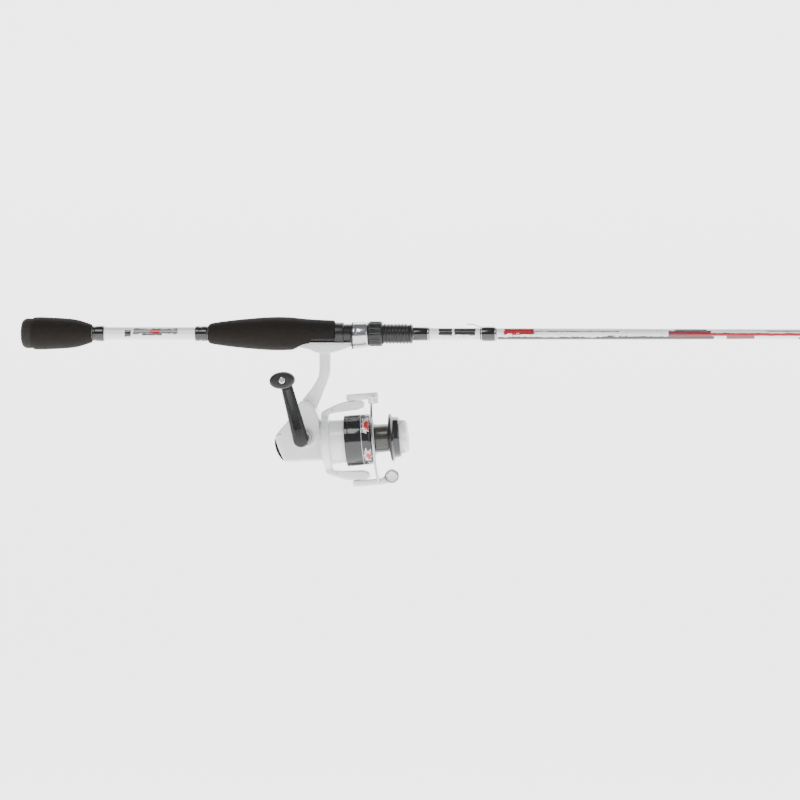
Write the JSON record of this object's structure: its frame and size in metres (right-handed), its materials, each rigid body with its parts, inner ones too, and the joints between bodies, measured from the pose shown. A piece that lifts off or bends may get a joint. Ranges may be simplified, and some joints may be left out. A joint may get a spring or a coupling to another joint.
{
  "type": "fishing rod and reel",
  "caption": "Spinning rod in joined sections with split foam grips, a threaded reel seat and line guides, carrying a front-drag spinning reel with a folding wire bail.",
  "frame": {"origin": "middle of the butt cap's flat end face, on the rod's axis", "axes": "+X along the rod to its tip, +Z away from the reel, -Y the side that the reel's handle is on"},
  "size_m": [1.6752, 0.1085, 0.153],
  "materials": {
    "foam": "closed-cell EVA foam, matte black, fine open grain",
    "rubber": "moulded rubber, dark grey, matte",
    "gloss_black": "moulded black plastic, glossy",
    "blank": "clear-coated white glass-fibre blank with painted marks",
    "seat": "moulded black plastic with a grey hood rim",
    "chrome": "polished stainless or plated metal",
    "thread": "black winding thread under clear epoxy",
    "ceramic": "polished dark ceramic",
    "white": "gloss white moulding",
    "spool": "black anodised and lacquered aluminium, glossy",
    "brass": "cut brass",
    "zinc": "die-cast zinc alloy, dull",
    "steel": "machined steel",
    "felt": "pressed felt, oiled",
    "acetal": "acetal, natural"
  },
  "bodies": {
    "rod_and_reel": {"butt_cap": "rubber", "rear_grip": "foam", "rear_grip_collar": "gloss_black", "butt_blank": "blank", "grip_collar": "gloss_black", "main_grip": "foam", "reel_seat": "seat", "seat_sleeve": "gloss_black", "keeper_wrap": "thread", "hook_keeper": "chrome", "joint_wrap": "thread", "stripper_guide_frame": "chrome", "stripper_guide_ring": "ceramic", "stripper_guide_wrap_front": "thread", "stripper_guide_wrap_rear": "thread", "reel_body": "white", "side_cover": "white", "rear_guard": "gloss_black", "cover_screw_front": "steel", "cover_screw_top": "steel", "drive_bearing_left": "steel", "drive_bearing_right": "steel", "pinion_bearing": "steel"},
    "hood": {"sliding_hood": "chrome", "hood_liner": "gloss_black"},
    "nut": {"lock_nut": "gloss_black"},
    "tip_section": {"tip_blank": "blank", "middle_guide_frame": "chrome", "middle_guide_ring": "ceramic", "middle_guide_wrap": "thread", "upper_guide_frame": "chrome", "upper_guide_ring": "ceramic", "upper_guide_wrap": "thread", "tip_top_frame": "chrome", "tip_top_ring": "ceramic"},
    "crank": {"handle_arm": "gloss_black", "handle_cap": "white", "drive_gear": "zinc", "knob_screw": "steel"},
    "crank_knob": {"handle_knob": "gloss_black"},
    "oscillation_wheel": {"oscillation_gear": "acetal"},
    "rotor_unit": {"rotor": "white", "rotor_nut": "steel", "pinion_gear": "brass", "bail_spring": "steel", "bail_screw_upper": "steel", "bail_screw_lower": "steel"},
    "bail": {"bail_arm_upper": "white", "bail_arm_lower": "white", "bail_wire": "chrome", "roller_cap": "white"},
    "roller": {"line_roller": "chrome"},
    "spool_shaft": {"main_shaft": "steel", "oscillation_slider": "zinc"},
    "spool_unit": {"spool": "spool", "click_ring": "steel", "drag_washer_felt": "felt", "drag_washer_steel": "steel"},
    "drag_adjuster": {"drag_knob": "white"},
    "lever": {"anti_reverse_lever": "gloss_black"}
  },
  "joints": [
    {"name": "crank_turn", "type": "hinge", "parent": "rod_and_reel", "child": "crank", "pos_m": [0.258, 0, -0.0934], "axis": [0, 1, 0], "continuous": true},
    {"name": "rotor_turn", "type": "hinge", "parent": "rod_and_reel", "child": "rotor_unit", "pos_m": [0.28838, 0, -0.09703], "axis": [0.9969, 0, 0.0785], "continuous": true},
    {"name": "oscillation_gear_turn", "type": "hinge", "parent": "rod_and_reel", "child": "oscillation_wheel", "pos_m": [0.24613, 0, -0.09805], "axis": [0, 1, 0], "continuous": true},
    {"name": "knob_spin", "type": "hinge", "parent": "crank", "child": "crank_knob", "pos_m": [0.24369, 0, -0.03998], "axis": [0, 1, 0], "continuous": true},
    {"name": "bail_flip", "type": "hinge", "parent": "rotor_unit", "child": "bail", "pos_m": [0.30543, 0, -0.09569], "axis": [-0.0785, 0, 0.9969], "range_deg": [0, 110]},
    {"name": "line_roller_spin", "type": "hinge", "parent": "bail", "child": "roller", "pos_m": [0.33594, 0, -0.12779], "axis": [0, 1, 0], "continuous": true},
    {"name": "spool_slide", "type": "slide", "parent": "rod_and_reel", "child": "spool_shaft", "axis": [0.9969, 0, 0.0785], "range_m": [-0.012, 0]},
    {"name": "spool_spin", "type": "hinge", "parent": "spool_shaft", "child": "spool_unit", "pos_m": [0.31829, 0, -0.09467], "axis": [0.9969, 0, 0.0785], "continuous": true},
    {"name": "drag_knob_turn", "type": "hinge", "parent": "spool_shaft", "child": "drag_adjuster", "pos_m": [0.3462, 0, -0.09248], "axis": [0.9969, 0, 0.0785], "range_deg": [0, 1080]},
    {"name": "lock_nut_turn", "type": "hinge", "parent": "hood", "child": "nut", "pos_m": [0.3208, 0, 0], "axis": [1, 0, 0], "range_deg": [0, 1800]},
    {"name": "hood_slide", "type": "slide", "parent": "rod_and_reel", "child": "hood", "axis": [1, 0, 0], "range_m": [0, 0.0155]},
    {"name": "tip_pull", "type": "slide", "parent": "rod_and_reel", "child": "tip_section", "axis": [1, 0, 0], "range_m": [0, 0.072]},
    {"name": "anti_reverse_turn", "type": "hinge", "parent": "rod_and_reel", "child": "lever", "pos_m": [0.245, 0, -0.1049], "axis": [0, 1, 0], "range_deg": [0, 40]}
  ],
  "couplings": [
    {"joint": "rotor_turn", "follows": "crank_turn", "ratio": -4.5},
    {"joint": "oscillation_gear_turn", "follows": "crank_turn", "ratio": -0.54545},
    {"joint": "lock_nut_turn", "follows": "hood_slide", "rad_per_m": 2026.8}
  ]
}
